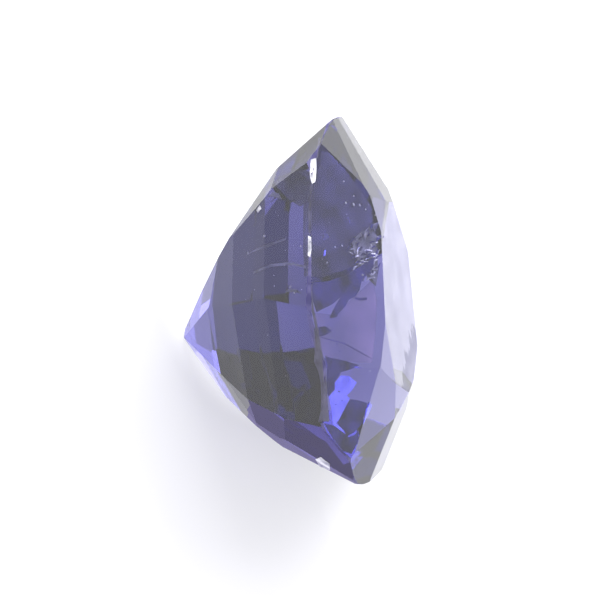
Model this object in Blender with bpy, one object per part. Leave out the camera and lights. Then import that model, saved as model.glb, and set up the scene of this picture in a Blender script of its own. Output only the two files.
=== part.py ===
# A hand-faceted cushion sapphire: a round blank cut by flat facets, laid on one facet.
import math

import bmesh
import bpy
from mathutils import Matrix, Vector

# Working unit is the millimetre; the finished stone is scaled to metres.
MM = 0.001

# Stone frame: x along the length, y towards the side in the photo, z towards the table.
# The round blank is wider than the stone; the facets meet at a sharp girdle.
BLANK_RADIUS = 6.6
BLANK_STEPS = 48
BLANK_TOP = 3.2
BLANK_BOTTOM = -5.6

# The girdle is bruted flat in narrow steps; each step takes this much off the sharp edge.
GIRDLE_STEPS = 24
GIRDLE_TRIM = 0.04
# Three places near the long end are bruted more: (azimuth, trim).
GIRDLE_FLATS = ((10.0, 0.12), (70.0, 0.10), (83.0, 0.06))

# Facets are (slope from the girdle plane, azimuth from x, distance from the centre).
TABLE = (3.5, 94.0, 1.71)

PAVILION_GIRDLE_ROW = (
    (55.5, 16.0, 4.05),
    (58.5, 42.5, 4.42),
    (65.5, 80.0, 4.08),
    (59.5, 103.5, 4.06),
    (61.0, 154.0, 4.59),
    (57.0, 166.0, 4.44),
)
PAVILION_SECOND_ROW = (
    (41.5, 9.0, 3.43),
    (45.5, 40.0, 3.98),
    (50.5, 79.0, 3.87),
    (50.5, 103.5, 3.90),
    (48.5, 149.5, 4.33),
    (49.5, 161.0, 4.35),
)
PAVILION_THIRD_ROW = (
    (40.0, 18.0, 3.63),
    (42.0, 78.0, 3.85),
    (40.0, 104.5, 3.86),
    (37.0, 148.5, 4.15),
)
PAVILION_CULET_ROW = (
    (34.0, 20.5, 3.76),
    (32.5, 69.0, 3.92),
    (36.5, 105.5, 3.91),
    (35.5, 152.0, 4.13),
)

# The far side repeats the near side, each row moved in a little.
FAR_GIRDLE_ROW = (
    (55.5, -16.0, 3.97),
    (58.5, -42.0, 4.28),
    (60.5, -80.5, 3.90),
    (60.0, -105.0, 3.87),
    (61.0, -148.0, 4.45),
    (61.5, -164.5, 4.07),
)
FAR_SECOND_ROW = (
    (41.5, -11.0, 3.43),
    (45.5, -41.0, 3.45),
    (50.5, -79.0, 3.73),
    (50.5, -105.0, 3.76),
    (50.0, -140.0, 3.95),
    (49.5, -161.0, 4.25),
    (46.0, 180.0, 4.20),
)
FAR_THIRD_ROW = (
    (40.0, -19.0, 3.63),
    (42.0, -77.0, 3.79),
    (40.5, -105.0, 3.82),
    (37.0, -147.0, 4.25),
)
FAR_CULET_ROW = (
    (34.0, -21.0, 3.76),
    (32.5, -68.0, 3.91),
    (36.0, -106.0, 3.91),
    (36.0, -141.5, 4.10),
)

CROWN_MAINS = (
    (22.0, 37.5, 2.61),
    (37.0, 86.0, 2.72),
    (30.5, 139.0, 3.02),
    (30.5, 199.5, 2.63),
    (31.5, 228.5, 2.37),
    (26.5, 274.0, 2.02),
    (33.0, 337.0, 2.56),
)
CROWN_GIRDLE_FACETS = (
    (30.5, 62.0, 2.95),
    (41.5, 122.5, 3.45),
    (37.0, 169.0, 3.35),
    (34.0, 250.0, 2.62),
    (32.0, 305.0, 2.62),
)
CROWN_STARS = (
    (21.5, 12.5, 2.52),
    (16.5, 61.5, 2.30),
    (14.0, 107.0, 2.17),
    (16.5, 162.5, 2.40),
    (24.5, 209.5, 2.36),
    (20.0, 233.0, 2.04),
    (18.0, 276.5, 1.75),
    (20.0, 319.0, 2.00),
)

# The stone lies on this far-side facet, and the photo looks at it from this direction.
REST_SLOPE, REST_AZIMUTH = FAR_THIRD_ROW[2][:2]
FRONT_AZIMUTH = 98.0
FRONT_RISE = 13.0

# Corners closer together than this are one corner.
WELD = 0.002


def clear_scene():
    for thing in list(bpy.data.objects):
        bpy.data.objects.remove(thing, do_unlink=True)


def facet_normal(slope, azimuth, side):
    s, a = math.radians(slope), math.radians(azimuth)
    return Vector((math.sin(s) * math.cos(a), math.sin(s) * math.sin(a), side * math.cos(s)))


def round_blank():
    bm = bmesh.new()
    bmesh.ops.create_cone(bm, cap_ends=True, cap_tris=False, segments=BLANK_STEPS,
                          radius1=BLANK_RADIUS, radius2=BLANK_RADIUS,
                          depth=BLANK_TOP - BLANK_BOTTOM)
    bmesh.ops.translate(bm, verts=bm.verts[:], vec=(0.0, 0.0, (BLANK_TOP + BLANK_BOTTOM) / 2.0))
    return bm


def cut_plane(bm, normal, distance):
    cut = bmesh.ops.bisect_plane(bm, geom=bm.verts[:] + bm.edges[:] + bm.faces[:], dist=WELD / 2.0,
                                 plane_co=normal * distance, plane_no=normal, clear_outer=True)
    rim = [part for part in cut["geom_cut"] if isinstance(part, bmesh.types.BMEdge)]
    open_rim = [edge for edge in rim if edge.is_valid and edge.is_boundary]
    if open_rim:
        bmesh.ops.contextual_create(bm, geom=open_rim)


def cut_rows(bm, rows, side):
    for row in rows:
        for slope, azimuth, distance in row:
            cut_plane(bm, facet_normal(slope, azimuth, side), distance)


def brute_girdle(bm):
    steps = [(i * 360.0 / GIRDLE_STEPS, GIRDLE_TRIM) for i in range(GIRDLE_STEPS)]
    sharp = [vert.co.copy() for vert in bm.verts]
    for azimuth, trim in steps + list(GIRDLE_FLATS):
        normal = facet_normal(90.0, azimuth, 1.0)
        reach = max(corner.dot(normal) for corner in sharp)
        cut_plane(bm, normal, reach - trim)


def cut_stone():
    bm = round_blank()
    cut_rows(bm, (PAVILION_GIRDLE_ROW, PAVILION_SECOND_ROW, PAVILION_THIRD_ROW,
                  PAVILION_CULET_ROW, FAR_GIRDLE_ROW, FAR_SECOND_ROW, FAR_THIRD_ROW,
                  FAR_CULET_ROW), -1.0)
    cut_rows(bm, (CROWN_MAINS, CROWN_GIRDLE_FACETS, CROWN_STARS, (TABLE,)), 1.0)
    brute_girdle(bm)
    bmesh.ops.remove_doubles(bm, verts=bm.verts[:], dist=WELD)
    bmesh.ops.recalc_face_normals(bm, faces=bm.faces[:])
    return bm


def lay_down(bm):
    up = -facet_normal(REST_SLOPE, REST_AZIMUTH, -1.0)
    rise = math.radians(FRONT_RISE)
    turn = math.radians(FRONT_AZIMUTH)
    front = Vector((math.cos(rise) * math.cos(turn), math.cos(rise) * math.sin(turn), math.sin(rise)))
    level = (front - up * front.dot(up)).normalized()
    across = (-level).cross(up)
    bm.transform(Matrix((across, -level, up)).to_4x4())
    low = [min(vert.co[i] for vert in bm.verts) for i in range(3)]
    high = [max(vert.co[i] for vert in bm.verts) for i in range(3)]
    middle = Vector(((low[0] + high[0]) / 2.0, (low[1] + high[1]) / 2.0, low[2]))
    bm.transform(Matrix.Scale(MM, 4) @ Matrix.Translation(-middle))


def crystal_material():
    material = bpy.data.materials.new("sapphire_crystal")
    material.use_nodes = True
    shader = material.node_tree.nodes["Principled BSDF"]
    shader.inputs["Base Color"].default_value = (0.30, 0.30, 0.52, 1.0)
    shader.inputs["Roughness"].default_value = 0.02
    shader.inputs["IOR"].default_value = 1.77
    shader.inputs["Transmission Weight"].default_value = 1.0
    return material


def main():
    clear_scene()
    stone = cut_stone()
    lay_down(stone)
    mesh = bpy.data.meshes.new("sapphire")
    stone.to_mesh(mesh)
    stone.free()
    mesh.materials.append(crystal_material())
    node = bpy.data.objects.new("sapphire", mesh)
    group = bpy.data.collections.new("unheated_sapphire")
    bpy.context.scene.collection.children.link(group)
    group.objects.link(node)


main()
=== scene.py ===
# Looks of the loose sapphire: the clear crystal, the marks inside it and the light around it.
import math
import random

import bmesh
import bpy
from mathutils import Matrix, Vector, noise
from mathutils.bvhtree import BVHTree


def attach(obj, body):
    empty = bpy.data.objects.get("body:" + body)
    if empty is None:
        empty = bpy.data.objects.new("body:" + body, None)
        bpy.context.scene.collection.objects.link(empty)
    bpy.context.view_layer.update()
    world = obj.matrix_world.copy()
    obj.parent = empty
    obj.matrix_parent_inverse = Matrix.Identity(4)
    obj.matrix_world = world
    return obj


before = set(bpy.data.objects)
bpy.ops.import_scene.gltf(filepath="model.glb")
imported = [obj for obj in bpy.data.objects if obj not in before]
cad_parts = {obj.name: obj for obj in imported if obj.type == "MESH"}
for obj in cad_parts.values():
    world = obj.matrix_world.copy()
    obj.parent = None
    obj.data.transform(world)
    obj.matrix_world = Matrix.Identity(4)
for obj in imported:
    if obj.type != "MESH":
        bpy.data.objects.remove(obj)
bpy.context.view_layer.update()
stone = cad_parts["sapphire"]
scene = bpy.context.scene
chance = random.Random(7)

# Lengths are metres, or millimetres where a comment says so or MM scales them.
MM = 0.001

# The girdle plane's normal on the table side, and the stone's middle, as the stone lies.
TABLE_UP = Vector((0.3761, 0.5295, 0.7604)).normalized()
MIDDLE = Vector((0.00002, 0.00017, 0.00382))
# How much of a face's normal points along TABLE_UP: at most so much on the girdle, and at
# least so much on the table.
GIRDLE_LEAN = 0.08
TABLE_LEAN = 0.985

# The photo's view: towards the camera, to the right and down in the picture.
TO_CAMERA = Vector((0.0, -0.6574, 0.7536)).normalized()
RIGHT = Vector((0.4803, 0.6609, 0.5766)).normalized()
DOWN = TO_CAMERA.cross(RIGHT).normalized() * -1.0

# The picture's width in pixels, its scale, and the pixel that shows the stone's middle.
PICTURE_PIXELS = 600.0
PIXELS_PER_MM = 36.2
MIDDLE_PIXEL = (349.44, 302.62)
CAMERA_DISTANCE = 0.35
SENSOR_WIDTH = 36.0

# The crystal's optics and its surface: polishing lines along one direction, and a slow swell.
IOR = 1.77
ABSORPTION_COLOUR = (0.06, 0.03, 0.54, 1.0)
ABSORPTION_DENSITY = 335.0
POLISH_TURN = (0.3, 0.5, 0.9)
POLISH_SCALE = (300.0, 2600.0, 300.0)
POLISH_HEIGHT = 0.00003
SWELL_SCALE = 420.0
SWELL_HEIGHT = 0.00006
MARK_RELIEF = 0.00001

# The studio: sky, lamps, floor and a glowing card that paints shade into the facets' reflections.
SKY_COLOUR = (0.92, 0.92, 1.0, 1.0)
SKY_STRENGTH = 1.32
LAMP_COLOUR = (0.95, 0.95, 1.0)
# Softboxes: (name, place, aim, width, height, strength), in millimetres.
SOFTBOXES = (
    ("back_low_softbox", (8.0, 15.0, 1.8), (8.0, 0.0, 1.8), 70.0, 3.4, 0.9),
    ("back_high_softbox", (8.0, 15.0, 10.0), (8.0, 0.0, 6.0), 70.0, 12.0, 1.3),
    ("key_softbox", (-35.0, 25.0, 60.0), (0.0, 0.0, 0.0), 80.0, 80.0, 4.2),
)
FLOOR_HALF_WIDTH = 0.6
FLOOR_DROP = 0.00002
FLOOR_GREY = (0.3, 0.3, 0.3, 1.0)
# Painted pool of light: the floor glows more in a round patch under the stone.
LIGHT_POOL_CENTRE = (-0.0009, 0.0004, 0.0)
LIGHT_POOL_RADIUS = 0.0036
LIGHT_POOL_EDGE = 0.5
FLOOR_GLOW = 0.52
LIGHT_POOL_GLOW = 1.04
# The card is a painted reflection: a glowing violet disc that the facets mirror in place of the brighter
# floor there. Its place and radius are millimetres.
CARD_CENTRE = Vector((4.1, -3.7, 0.05))
CARD_RADIUS = 2.9
PAINTED_REFLECTION_COLOUR = (0.60, 0.54, 1.0, 1.0)
PAINTED_REFLECTION_GLOW = 0.8

# The marks below are outlines and places in photo pixels (column, row). Depths under the
# facet that the pixel shows, thicknesses, radii and other sizes are millimetres.
CRACK_THICK = 0.02
FLASH_THICK = 0.02
FILM_THICK = 0.02
WISP_THICK = 0.015
CLOUD_THICK = 0.03
SHADE_DEPTH = 0.03
SHADE_THICK = 0.02
# The chips start a hair outside the surface.
CHIP_DEPTH = -0.004
CHIP_THICK = 0.012
# Plates aren't flat: noise of this scale moves them by this share of their thickness.
RIPPLE_SCALE = 6.0
RIPPLE_SHARE = 0.5

# Dark fractures: (name, depth, outline).
DARK_CRACKS = (
    ("veil_dark", 0.12, (
        (313, 283), (330, 281), (347, 275), (362, 266), (375, 257), (375, 267), (368, 275), (363, 281),
        (361, 290), (357, 296), (350, 300), (347, 306), (340, 313), (338, 317), (331, 318), (335, 309),
        (342, 297), (334, 304), (326, 308), (318, 312), (314, 300))),
    ("crack_hook", 0.09, (
        (356, 297), (361, 298), (368, 297.5), (368, 300), (361, 300.5), (356, 299))),
    ("crack_small", 0.08, (
        (319.5, 327), (327, 326.5), (333, 331), (327, 335), (320, 337))),
    ("crack_long", 0.07, (
        (322, 337.2), (345, 343.1), (358, 350.1), (373, 358.8), (373, 359.2), (357.5, 350.9),
        (345, 343.9), (322, 337.8))),
    ("veil_left", 0.12, (
        (322, 357), (334, 358), (348, 361), (361, 365), (352, 370), (342, 373), (341, 376),
        (336, 383), (336, 390), (330, 397), (328, 392), (325, 380))),
    ("veil_low", 0.16, (
        (326, 424), (334, 426), (345, 432), (350, 438), (356, 436), (361, 431), (360, 444),
        (354, 456), (345, 452), (335, 440))),
    ("veil_right", 0.15, (
        (352, 400), (360, 401), (370, 404), (367, 412), (363, 425), (356, 433), (349, 437),
        (345, 431), (339, 424), (342, 419), (347, 408))),
    ("crack_tip", 0.04, (
        (331, 126), (333, 124.5), (338, 129), (337, 131))),
)
# Painted reflections: metallic blue plates where the stone flashes blue from light reflected inside it:
# (name, depth, outline).
PAINTED_BLUE_FLASHES = (
    ("flash_wide", 0.10, (
        (342, 376), (350, 376.5), (358, 383), (353, 391), (348, 396), (351, 399), (346, 409),
        (340, 420), (337, 424), (345, 431), (347, 435), (339, 429), (334, 425), (332, 407),
        (330, 397), (336, 390), (336, 383))),
    ("flash_streak", 0.08, (
        (370, 402), (373, 406), (370, 413), (364, 425), (367, 409))),
    ("flash_dot", 0.08, (
        (325, 250.5), (327, 250), (326.5, 255), (324.5, 256.5))),
)
# White slivers on chipped spots of the girdle and the edges, whose white is a painted highlight where
# they glint: (name, outline).
PAINTED_GLINT_CHIPS = (
    ("chip_girdle_top", (
        (311.0, 160.0), (316.5, 158.5), (316.5, 170.0), (315.5, 182.0), (312.5, 184.0), (310.5, 178.0))),
    ("chip_girdle_middle", (
        (308.5, 236.0), (311.5, 237.5), (311.8, 250.0), (310.5, 257.5), (308.2, 256.0))),
    ("chip_shoulder", (
        (257.0, 210.5), (260.5, 205.5), (262.0, 209.0), (258.5, 213.0))),
    ("chip_low_edge", (
        (258.5, 429.5), (262.0, 431.0), (266.5, 436.5), (263.0, 435.5))),
    ("chip_lower", (
        (316.0, 459.0), (321.0, 457.0), (326.0, 461.0), (330.5, 464.0), (330.5, 470.0),
        (325.0, 468.0), (320.0, 466.0))),
)
# A silky cloud behind the front crown facet's upper part.
SILK_DEPTH = 0.32
SILK = (
    (315, 160), (326, 148), (333, 150), (350, 168), (368, 190), (377, 206), (381, 230), (381, 252),
    (366, 262), (346, 270), (328, 276), (314, 276), (312, 240), (312, 200))
# The same cloud under the upper pavilion facets.
SILK_UPPER_DEPTH = 0.20
SILK_UPPER = (
    (274, 181), (286, 173), (300, 166), (310, 172), (309, 200), (298, 206), (285, 197))
# A fainter, rosier cloud in the lower part.
HAZE_DEPTH = 0.30
HAZE = (
    (318, 312), (334, 314), (350, 303), (364, 290), (376, 278), (380, 300), (379, 330), (375, 362),
    (362, 362), (345, 360), (326, 354), (320, 335))
# Thin milky wisps under the front pavilion facets: (name, depth, outline).
WISPS = (
    ("wisp_upper", 0.12, (
        (247, 254), (255, 249), (268, 244), (285, 238), (285, 239.5), (268, 246), (255, 251))),
    ("wisp_middle", 0.14, (
        (252, 272), (270, 264), (290, 262), (305, 266), (305, 268), (290, 264.5), (270, 266.5),
        (252, 274))),
    ("wisp_lower", 0.12, (
        (283, 293), (288, 288.5), (296, 289.5), (301, 293.5), (296, 292.5), (288, 291.5))),
    ("wisp_shoulder", 0.10, (
        (266, 196), (272, 191.5), (278, 193.5), (281, 199), (276, 197.5), (271, 196.5))),
)
# Painted shade: a dark strip inside the stone that follows the girdle, where the girdle's inner
# reflection shows dark: (row, left column, right column).
GIRDLE_SHADE = (
    (258, 308.5, 311.5), (278, 307.5, 311.8), (295, 310.0, 312.5), (310, 312.0, 314.5),
    (325, 314.0, 318.0), (340, 315.0, 320.5), (352, 315.0, 322.5), (362, 314.0, 325.5),
    (372, 318.5, 326.5), (384, 321.0, 327.0), (398, 321.5, 328.0), (410, 321.0, 329.0),
    (422, 318.5, 330.0))
# The same painted shade near the tip and along the upper girdle.
GIRDLE_SHADE_TIP = (
    (138, 319.0, 321.0), (148, 317.5, 320.0), (158, 315.5, 318.5))
GIRDLE_SHADE_UPPER = (
    (184, 310.3, 313.2), (200, 309.3, 312.0), (217, 308.3, 310.8), (234, 308.8, 311.0))
# The healed fracture: rows of small mirror-like folds, as (start, end, depth), over a film.
FEATHER_ROWS = (
    ((352, 246), (378, 226), 0.14),
    ((354, 256), (380, 240), 0.15),
    ((358, 266), (380, 254), 0.12),
    ((364, 276), (380, 268), 0.14),
)
FEATHER_FILM_DEPTH = 0.20
FEATHER_FILM = (
    (354, 240), (362, 233), (372, 227), (379, 235), (380, 255), (380, 275), (378, 286),
    (371, 279), (366, 270), (360, 262), (357, 252))
SHADOW_FOLDS = 8
BRIGHT_FOLDS = 12
# How far a fold strays: along its row in steps, in pixels, in depth and in tilt.
FOLD_STEP = 0.3
FOLD_COLUMNS = 2.5
FOLD_ROWS = 4.0
FOLD_DEPTHS = (-0.03, 0.05)
FOLD_TILT = 0.5
# A fold runs down and to the left in the picture, turned further by its own tilt.
FOLD_DIRECTION = DOWN * 0.6 - RIGHT * 0.8
FOLD_TWIST = 0.8
FOLD_LENGTHS = (0.07, 0.20)
FOLD_WIDTHS = (0.02, 0.05)
FOLD_THICK = 0.010
FOLD_BEND = 1.4
# Grains: how uneven they are, then their places, radii and depths.
GRAIN_SIZES = (0.7, 1.3)
GRAIN_STRETCH = (0.6, 1.6)
GRAIN_HEIGHT = 0.8
SPECKS = (
    (346, 181), (355, 196), (347, 203), (356, 204), (361, 205), (368, 209), (377, 215), (345, 245),
    (247, 253), (290, 287), (300, 246), (293, 292), (336, 247), (262, 236), (330, 262))
SPECK_RADIUS = 0.028
SPECK_DEPTHS = (0.05, 0.25)
DUST_COUNT = 26
DUST_COLUMNS = (240, 378)
DUST_ROWS = (200, 380)
DUST_RADIUS = 0.010
PITS = ((341, 351), (346, 365), (352, 341), (338, 344), (366, 349), (340, 392), (343, 401), (337, 405))
PIT_RADIUS = 0.020
PIT_DEPTHS = (0.03, 0.08)
SCUFFS = ((348, 138), (352, 131), (356, 143), (361, 152), (346, 128), (343, 133), (384, 262), (383, 268))
SCUFF_RADIUS = 0.016
SCUFF_DEPTHS = (0.0, 0.02)
# The ground girdle stands a hair proud. The table's film is a little smaller than the table.
BAND_PROUD = 0.002
BAND_THICK = 0.001
WEAR_SHARE = 0.97
WEAR_DEPTH = 0.02
WEAR_THICK = 0.006


def in_picture(column, row):
    """The point that a photo pixel shows on the plane through the stone's middle."""
    across = column - MIDDLE_PIXEL[0]
    down = row - MIDDLE_PIXEL[1]
    return MIDDLE + (RIGHT * across + DOWN * down) / PIXELS_PER_MM * MM


EYE = in_picture(PICTURE_PIXELS / 2.0, PICTURE_PIXELS / 2.0) + TO_CAMERA * CAMERA_DISTANCE


def new_material(name):
    material = bpy.data.materials.new(name)
    material.use_nodes = True
    tree = material.node_tree
    return material, tree, tree.nodes["Principled BSDF"]


def crystal():
    """Clear absorbing sapphire, with faint polishing lines and waviness on its facets."""
    material, tree, shader = new_material("sapphire_crystal")
    nodes, links = tree.nodes, tree.links
    shader.inputs["Base Color"].default_value = (1.0, 1.0, 1.0, 1.0)
    shader.inputs["IOR"].default_value = IOR
    shader.inputs["Transmission Weight"].default_value = 1.0
    shader.inputs["Roughness"].default_value = 0.0
    where = nodes.new("ShaderNodeTexCoord")
    grain = nodes.new("ShaderNodeMapping")
    grain.inputs["Rotation"].default_value = POLISH_TURN
    grain.inputs["Scale"].default_value = POLISH_SCALE
    lines = nodes.new("ShaderNodeTexNoise")
    lines.inputs["Scale"].default_value = 1.0
    lines.inputs["Detail"].default_value = 3.0
    waves = nodes.new("ShaderNodeTexNoise")
    waves.inputs["Scale"].default_value = SWELL_SCALE
    waves.inputs["Detail"].default_value = 1.0
    polish = nodes.new("ShaderNodeBump")
    polish.inputs["Strength"].default_value = 0.06
    polish.inputs["Distance"].default_value = POLISH_HEIGHT
    swell = nodes.new("ShaderNodeBump")
    swell.inputs["Strength"].default_value = 0.25
    swell.inputs["Distance"].default_value = SWELL_HEIGHT
    links.new(where.outputs["Object"], grain.inputs["Vector"])
    links.new(grain.outputs["Vector"], lines.inputs["Vector"])
    links.new(where.outputs["Object"], waves.inputs["Vector"])
    links.new(lines.outputs["Fac"], polish.inputs["Height"])
    links.new(waves.outputs["Fac"], swell.inputs["Height"])
    links.new(swell.outputs["Normal"], polish.inputs["Normal"])
    links.new(polish.outputs["Normal"], shader.inputs["Normal"])
    absorb = nodes.new("ShaderNodeVolumeAbsorption")
    absorb.inputs["Color"].default_value = ABSORPTION_COLOUR
    absorb.inputs["Density"].default_value = ABSORPTION_DENSITY
    links.new(absorb.outputs["Volume"], nodes["Material Output"].inputs["Volume"])
    return material


def floor_material():
    """Pale lit table: an even glow, and a painted pool of light, a brighter glow in a round patch under
    the stone.
    """
    material, tree, shader = new_material("studio_floor")
    nodes, links = tree.nodes, tree.links
    shader.inputs["Base Color"].default_value = FLOOR_GREY
    shader.inputs["Roughness"].default_value = 0.6
    shader.inputs["Emission Color"].default_value = (1.0, 1.0, 1.0, 1.0)
    where = nodes.new("ShaderNodeTexCoord")
    # The painted pool of light: the glow rises from the even level to a brighter one inside the round
    # patch.
    spot = nodes.new("ShaderNodeMapping")
    spot.vector_type = "TEXTURE"
    spot.inputs["Location"].default_value = LIGHT_POOL_CENTRE
    spot.inputs["Scale"].default_value = (LIGHT_POOL_RADIUS, LIGHT_POOL_RADIUS, LIGHT_POOL_RADIUS)
    fall = nodes.new("ShaderNodeTexGradient")
    fall.gradient_type = "SPHERICAL"
    glow = nodes.new("ShaderNodeMapRange")
    glow.interpolation_type = "SMOOTHSTEP"
    glow.inputs["From Min"].default_value = 0.0
    glow.inputs["From Max"].default_value = LIGHT_POOL_EDGE
    glow.inputs["To Min"].default_value = FLOOR_GLOW
    glow.inputs["To Max"].default_value = LIGHT_POOL_GLOW
    links.new(where.outputs["Object"], spot.inputs["Vector"])
    links.new(spot.outputs["Vector"], fall.inputs["Vector"])
    links.new(fall.outputs["Fac"], glow.inputs["Value"])
    links.new(glow.outputs["Result"], shader.inputs["Emission Strength"])
    return material


def mottled(name, low, high, scale, roughness, alpha=1.0, metallic=0.0, specular=0.5):
    """A surface whose colour varies with noise between two colours, with a little relief."""
    material, tree, shader = new_material(name)
    nodes, links = tree.nodes, tree.links
    where = nodes.new("ShaderNodeTexCoord")
    cloud = nodes.new("ShaderNodeTexNoise")
    cloud.inputs["Scale"].default_value = scale
    cloud.inputs["Detail"].default_value = 4.0
    ramp = nodes.new("ShaderNodeValToRGB")
    ramp.color_ramp.elements[0].position = 0.35
    ramp.color_ramp.elements[0].color = low + (1.0,)
    ramp.color_ramp.elements[1].position = 0.65
    ramp.color_ramp.elements[1].color = high + (1.0,)
    relief = nodes.new("ShaderNodeBump")
    relief.inputs["Strength"].default_value = 0.5
    relief.inputs["Distance"].default_value = MARK_RELIEF
    links.new(where.outputs["Object"], cloud.inputs["Vector"])
    links.new(cloud.outputs["Fac"], ramp.inputs["Fac"])
    links.new(cloud.outputs["Fac"], relief.inputs["Height"])
    links.new(ramp.outputs["Color"], shader.inputs["Base Color"])
    links.new(relief.outputs["Normal"], shader.inputs["Normal"])
    shader.inputs["Roughness"].default_value = roughness
    shader.inputs["Alpha"].default_value = alpha
    shader.inputs["Metallic"].default_value = metallic
    shader.inputs["Specular IOR Level"].default_value = specular
    return material


# Painted reflection: the metallic blue of the blue flashes.
def painted_flash_material():
    return mottled("painted_blue_flash", (0.10, 0.10, 0.70), (0.16, 0.16, 0.95), 2500.0, 0.22, metallic=1.0)


def silk_material():
    return mottled("silk_cloud", (0.006, 0.006, 0.09), (0.10, 0.095, 0.42), 900.0, 0.8, alpha=0.6)


def haze_material():
    return mottled("rosy_haze", (0.04, 0.02, 0.26), (0.50, 0.34, 0.80), 800.0, 0.8, alpha=0.22)


def film_material():
    return mottled("feather_film", (0.010, 0.012, 0.09), (0.24, 0.24, 0.52), 2600.0, 0.35, alpha=0.75)


def wear_material():
    return mottled("table_wear", (0.12, 0.13, 0.20), (0.74, 0.74, 0.78), 1500.0, 0.6, alpha=0.22)


def fold_material():
    return mottled("healed_fracture", (0.10, 0.10, 0.30), (0.70, 0.70, 0.95), 4000.0, 0.25, metallic=0.6)


def crack_material():
    return mottled("dark_crack", (0.002, 0.002, 0.07), (0.030, 0.024, 0.30), 1800.0, 0.5, specular=0.1)


def pale_material():
    return mottled("pale_mineral", (0.55, 0.55, 0.70), (0.92, 0.92, 0.96), 9000.0, 0.4)


# Painted highlight: the white of the glinting chips.
def chip_glint_material():
    return mottled("chip_painted_glint", (0.20, 0.20, 0.26), (0.98, 0.98, 0.98), 3500.0, 0.3)


# The frosted girdle's own dark colour, also used as painted shade for the dark strip along the girdle.
def ground_edge_and_shade_material():
    return mottled("ground_edge_and_painted_shade", (0.035, 0.03, 0.11), (0.12, 0.11, 0.24), 3000.0, 0.5)


def world_light():
    world = bpy.data.worlds.new("studio")
    world.use_nodes = True
    scene.world = world
    back = world.node_tree.nodes["Background"]
    back.inputs["Color"].default_value = SKY_COLOUR
    back.inputs["Strength"].default_value = SKY_STRENGTH


def new_object(name, bm, material):
    mesh = bpy.data.meshes.new(name)
    bm.to_mesh(mesh)
    bm.free()
    mesh.materials.append(material)
    thing = bpy.data.objects.new(name, mesh)
    scene.collection.objects.link(thing)
    return thing


def floor():
    bm = bmesh.new()
    bmesh.ops.create_grid(bm, x_segments=1, y_segments=1, size=FLOOR_HALF_WIDTH)
    ground = new_object("floor", bm, floor_material())
    ground.location.z = -FLOOR_DROP


def painted_reflection_card():
    """A glowing violet-grey card by the lower end, seen only in the facets' reflections: painted shade,
    darker and more violet than the floor it stands for.
    """
    material, tree, shader = new_material("painted_reflection_card")
    shader.inputs["Base Color"].default_value = (0.0, 0.0, 0.0, 1.0)
    shader.inputs["Emission Color"].default_value = PAINTED_REFLECTION_COLOUR
    shader.inputs["Emission Strength"].default_value = PAINTED_REFLECTION_GLOW
    bm = bmesh.new()
    bmesh.ops.create_circle(bm, cap_ends=True, segments=32, radius=CARD_RADIUS * MM)
    card = new_object("painted_reflection_card", bm, material)
    card.location = CARD_CENTRE * MM
    card.visible_camera = False
    card.visible_diffuse = False
    card.visible_transmission = False
    card.visible_shadow = False


def camera():
    data = bpy.data.cameras.new("camera")
    eye = bpy.data.objects.new("camera", data)
    scene.collection.objects.link(eye)
    turn = Matrix((RIGHT, -DOWN, TO_CAMERA)).transposed().to_4x4()
    eye.matrix_world = Matrix.Translation(EYE) @ turn
    data.sensor_width = SENSOR_WIDTH
    data.lens = data.sensor_width * CAMERA_DISTANCE / (PICTURE_PIXELS / PIXELS_PER_MM * MM)
    data.clip_start = 0.001
    scene.camera = eye


def softbox(name, centre, aim, wide, tall, glow):
    """A rectangular lamp; glow is the brightness its face shows."""
    data = bpy.data.lights.new(name, "AREA")
    data.shape = "RECTANGLE"
    data.size = wide * MM
    data.size_y = tall * MM
    data.color = LAMP_COLOUR
    data.energy = glow * math.pi * wide * tall * MM * MM
    lamp = bpy.data.objects.new(name, data)
    scene.collection.objects.link(lamp)
    spot = Vector(centre) * MM
    back = (spot - Vector(aim) * MM).normalized()
    across = Vector((0.0, 0.0, 1.0)).cross(back).normalized()
    turn = Matrix((across, back.cross(across), back)).transposed().to_4x4()
    lamp.matrix_world = Matrix.Translation(spot) @ turn
    lamp.visible_camera = False


def surface_tree():
    """The stone's own faces in millimetres, to find what a pixel of the photo shows."""
    corners = [vert.co / MM for vert in stone.data.vertices]
    return BVHTree.FromPolygons(corners, [list(face.vertices) for face in stone.data.polygons])


TREE = surface_tree()


def on_stone(column, row, depth):
    """The point under a photo pixel, that far inside the facet, and the facet's normal."""
    aim = in_picture(column, row)
    spot, normal = TREE.ray_cast(EYE / MM, (aim - EYE).normalized())[:2]
    if spot is None:
        spot, normal = TREE.find_nearest(aim / MM)[:2]
    return (spot - normal * depth) * MM, normal


def add_piece(name, bm, material):
    """A finished piece that rides on the stone."""
    bmesh.ops.recalc_face_normals(bm, faces=bm.faces[:])
    piece = new_object(name, bm, material)
    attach(piece, "root")


def new_corners(made):
    """The corners that an extrusion made."""
    return [part for part in made["geom"] if isinstance(part, bmesh.types.BMVert)]


def hug_surface(bm, depth):
    """Bring every corner to the same depth under the nearest facet."""
    for vert in bm.verts:
        spot, normal = TREE.find_nearest(vert.co / MM)[:2]
        vert.co = (spot - normal * depth) * MM


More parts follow.
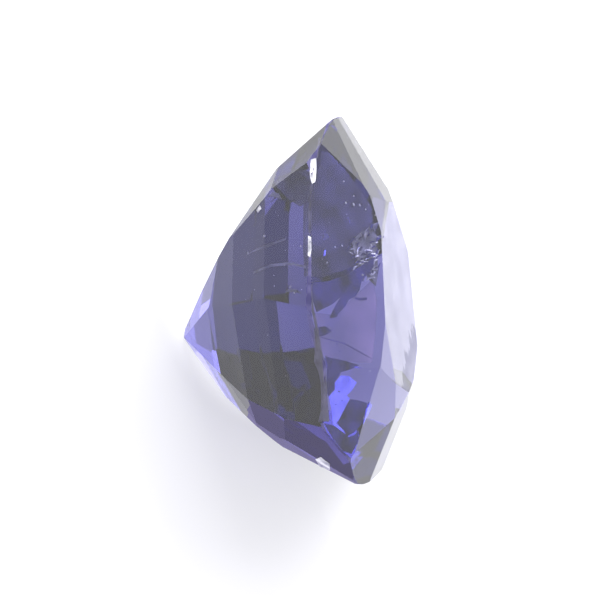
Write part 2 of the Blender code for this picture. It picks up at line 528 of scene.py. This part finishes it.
def plate(name, outline, depth, thick, material, hug=False):
    """A thin closed plate with its outline under the photo's pixels."""
    bm = bmesh.new()
    found = [on_stone(column, row, depth) for column, row in outline]
    base = [bm.verts.new(spot) for spot, normal in found]
    face = bm.faces.new(base)
    bmesh.ops.triangulate(bm, faces=[face])
    bmesh.ops.subdivide_edges(bm, edges=bm.edges[:], cuts=2, use_grid_fill=True)
    push = sum((normal for spot, normal in found), Vector()).normalized()
    for vert in bm.verts:
        vert.co -= push * noise.noise(vert.co / MM * RIPPLE_SCALE) * RIPPLE_SHARE * thick * MM
    if hug:
        hug_surface(bm, depth)
    lid = bmesh.ops.extrude_face_region(bm, geom=bm.faces[:])
    bmesh.ops.translate(bm, verts=new_corners(lid), vec=push * thick * MM)
    add_piece(name, bm, material)


def ribbon(name, rows, depth, thick, material):
    """A thin closed strip that follows the stone's surface down the photo."""
    bm = bmesh.new()
    lines = []
    for row, left, right in rows:
        found = [on_stone(column, row, depth) for column in (left, (left + right) / 2.0, right)]
        lines.append([bm.verts.new(spot) for spot, normal in found])
    for upper, lower in zip(lines, lines[1:]):
        for i in (0, 1):
            bm.faces.new((upper[i], upper[i + 1], lower[i + 1], lower[i]))
    bmesh.ops.recalc_face_normals(bm, faces=bm.faces[:])
    lid = bmesh.ops.extrude_face_region(bm, geom=bm.faces[:])
    for vert in new_corners(lid):
        vert.co -= TO_CAMERA * thick * MM
    add_piece(name, bm, material)


def stone_faces(keep):
    """A copy of the stone with only the faces whose normals pass the test."""
    bm = bmesh.new()
    bm.from_mesh(stone.data)
    other = [face for face in bm.faces if not keep(face.normal.dot(TABLE_UP))]
    bmesh.ops.delete(bm, geom=other, context="FACES")
    return bm


def girdle_band():
    """The ground girdle: the stone's own narrow edge faces, a hair proud of them."""
    bm = stone_faces(lambda lean: abs(lean) <= GIRDLE_LEAN)
    bmesh.ops.dissolve_limit(bm, angle_limit=math.radians(1.0), verts=bm.verts[:], edges=bm.edges[:])
    bmesh.ops.subdivide_edges(bm, edges=bm.edges[:], cuts=3, use_grid_fill=True)
    bmesh.ops.triangulate(bm, faces=bm.faces[:])
    for vert in bm.verts:
        vert.co += vert.normal * BAND_PROUD * MM
    inner = bmesh.ops.extrude_face_region(bm, geom=bm.faces[:])
    for vert in new_corners(inner):
        vert.co -= vert.normal * BAND_THICK * MM
    add_piece("girdle_ground_edge", bm, ground_edge_and_shade_material())


def table_wear():
    """Polishing haze: a very thin film just under the table facet."""
    bm = stone_faces(lambda lean: lean >= TABLE_LEAN)
    middle = sum((vert.co for vert in bm.verts), Vector()) / len(bm.verts)
    push = next(iter(bm.faces)).normal.copy()
    for vert in bm.verts:
        vert.co = middle + (vert.co - middle) * WEAR_SHARE - push * WEAR_DEPTH * MM
    bmesh.ops.subdivide_edges(bm, edges=bm.edges[:], cuts=3, use_grid_fill=True)
    lid = bmesh.ops.extrude_face_region(bm, geom=bm.faces[:])
    for vert in new_corners(lid):
        vert.co += push * WEAR_THICK * MM
    add_piece("table_wear", bm, wear_material())


def feather(name, folds, material):
    """Small curled folds along the rows, seen as a fingerprint under the facet."""
    bm = bmesh.new()
    for (start_column, start_row), (end_column, end_row), depth in FEATHER_ROWS:
        for i in range(folds):
            t = (i + chance.uniform(-FOLD_STEP, FOLD_STEP)) / (folds - 1.0)
            column = start_column + (end_column - start_column) * t
            column += chance.uniform(-FOLD_COLUMNS, FOLD_COLUMNS)
            row = start_row + (end_row - start_row) * t
            row += chance.uniform(-FOLD_ROWS, FOLD_ROWS)
            spot, normal = on_stone(column, row, depth + chance.uniform(*FOLD_DEPTHS))
            tilt = Vector([chance.uniform(-FOLD_TILT, FOLD_TILT) for axis in range(3)])
            up = (normal + tilt).normalized()
            along = FOLD_DIRECTION + tilt * FOLD_TWIST
            along = (along - up * along.dot(up)).normalized()
            size = Vector((chance.uniform(*FOLD_LENGTHS), chance.uniform(*FOLD_WIDTHS), FOLD_THICK)) * MM
            turn = Matrix((along, up.cross(along), up)).transposed().to_4x4()
            made = bmesh.ops.create_icosphere(bm, subdivisions=2, radius=1.0)
            for vert in made["verts"]:
                x, y, z = vert.co
                bend = FOLD_BEND * x * x
                vert.co = turn @ Vector((x * size.x, (y + bend) * size.y, z * size.z)) + spot
    add_piece(name, bm, material)


def dust_places():
    return [(chance.uniform(*DUST_COLUMNS), chance.uniform(*DUST_ROWS)) for i in range(DUST_COUNT)]


def grains(name, places, radius, depths, material):
    """Small uneven grains at places given in photo pixels."""
    bm = bmesh.new()
    for column, row in places:
        spot, normal = on_stone(column, row, chance.uniform(*depths))
        size = radius * chance.uniform(*GRAIN_SIZES) * MM
        made = bmesh.ops.create_icosphere(bm, subdivisions=1, radius=size)
        stretch = Vector((chance.uniform(*GRAIN_STRETCH), chance.uniform(*GRAIN_STRETCH), GRAIN_HEIGHT))
        for vert in made["verts"]:
            vert.co = vert.co * stretch + spot
    add_piece(name, bm, material)


world_light()
floor()
painted_reflection_card()
camera()
for name, spot, aim, wide, tall, glow in SOFTBOXES:
    softbox(name, spot, aim, wide, tall, glow)

crack = crack_material()
chip_glint = chip_glint_material()
painted_flash = painted_flash_material()
silk = silk_material()
film = film_material()
shade = ground_edge_and_shade_material()
pale = pale_material()

stone.material_slots[0].material = crystal()
girdle_band()
table_wear()
for name, depth, outline in DARK_CRACKS:
    plate(name, outline, depth, CRACK_THICK, crack)
for name, outline in PAINTED_GLINT_CHIPS:
    plate(name, outline, CHIP_DEPTH, CHIP_THICK, chip_glint, hug=True)
for name, depth, outline in PAINTED_BLUE_FLASHES:
    plate(name, outline, depth, FLASH_THICK, painted_flash)
plate("silk_cloud", SILK, SILK_DEPTH, CLOUD_THICK, silk)
ribbon("girdle_shade", GIRDLE_SHADE, SHADE_DEPTH, SHADE_THICK, shade)
plate("feather_film", FEATHER_FILM, FEATHER_FILM_DEPTH, FILM_THICK, film)
for name, depth, outline in WISPS:
    plate(name, outline, depth, WISP_THICK, film)
plate("silk_upper", SILK_UPPER, SILK_UPPER_DEPTH, CLOUD_THICK, silk)
plate("rosy_haze", HAZE, HAZE_DEPTH, CLOUD_THICK, haze_material())
ribbon("girdle_shade_tip", GIRDLE_SHADE_TIP, SHADE_DEPTH, SHADE_THICK, shade)
ribbon("girdle_shade_upper", GIRDLE_SHADE_UPPER, SHADE_DEPTH, SHADE_THICK, shade)
feather("feather_shadow", SHADOW_FOLDS, crack)
feather("feather_folds", BRIGHT_FOLDS, fold_material())
grains("specks", SPECKS, SPECK_RADIUS, SPECK_DEPTHS, pale)
grains("dust", dust_places(), DUST_RADIUS, SPECK_DEPTHS, pale)
grains("pits", PITS, PIT_RADIUS, PIT_DEPTHS, crack)
grains("scuffs", SCUFFS, SCUFF_RADIUS, SCUFF_DEPTHS, pale)

scene.view_settings.view_transform = "Standard"
scene.cycles.max_bounces = 24
scene.cycles.transmission_bounces = 24
scene.cycles.glossy_bounces = 8
scene.cycles.volume_bounces = 0
